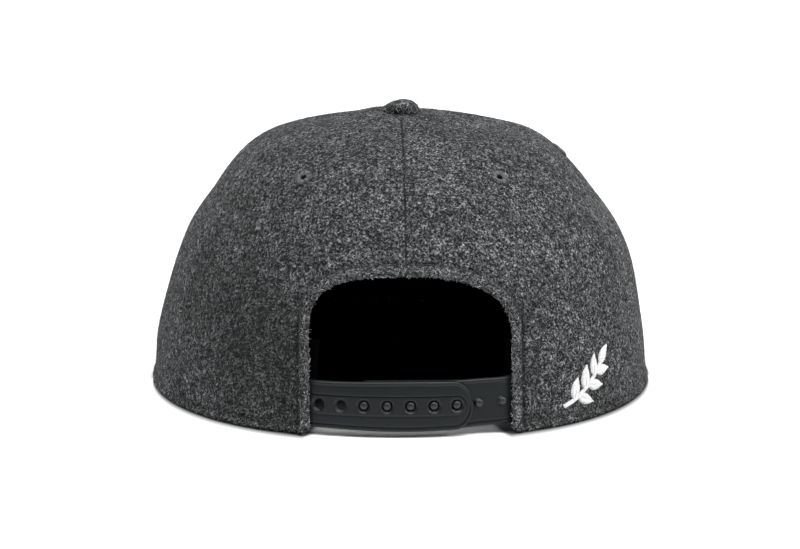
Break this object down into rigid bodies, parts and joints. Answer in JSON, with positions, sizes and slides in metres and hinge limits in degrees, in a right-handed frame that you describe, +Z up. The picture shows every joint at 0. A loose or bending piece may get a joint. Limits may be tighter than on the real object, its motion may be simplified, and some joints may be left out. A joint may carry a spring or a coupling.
{
  "type": "snapback cap",
  "caption": "Wool cap with a flat peak, a top button, an open arch at the back and a plastic snap strap across it.",
  "frame": {"origin": "middle of the bounding box's base, on the surface that the cap stands on", "axes": "+Z up, +Y to the back of the cap where the strap is, -Y to the peak, +X to the wearer's left"},
  "size_m": [0.1878, 0.2614, 0.1055],
  "materials": {
    "wool": "felted charcoal wool melange with pale fibres, matt",
    "grey_thread": "dull grey sewing thread",
    "white_thread": "white satin stitch thread with a soft sheen",
    "black_cotton": "black cotton twill, matt",
    "black_plastic": "moulded black plastic, satin"
  },
  "bodies": {
    "root": {"panel_back_left": "wool", "panel_side_left": "wool", "panel_front_left": "wool", "panel_front_right": "wool", "panel_side_right": "wool", "panel_back_right": "wool", "eyelet_back_left": "grey_thread", "eyelet_side_left": "grey_thread", "eyelet_front_left": "grey_thread", "eyelet_front_right": "grey_thread", "eyelet_side_right": "grey_thread", "eyelet_back_right": "grey_thread", "button": "wool", "peak": "wool", "sweatband": "black_cotton", "strap_left": "black_plastic", "strap_right": "black_plastic", "sprig": "white_thread"}
  },
  "joints": []
}
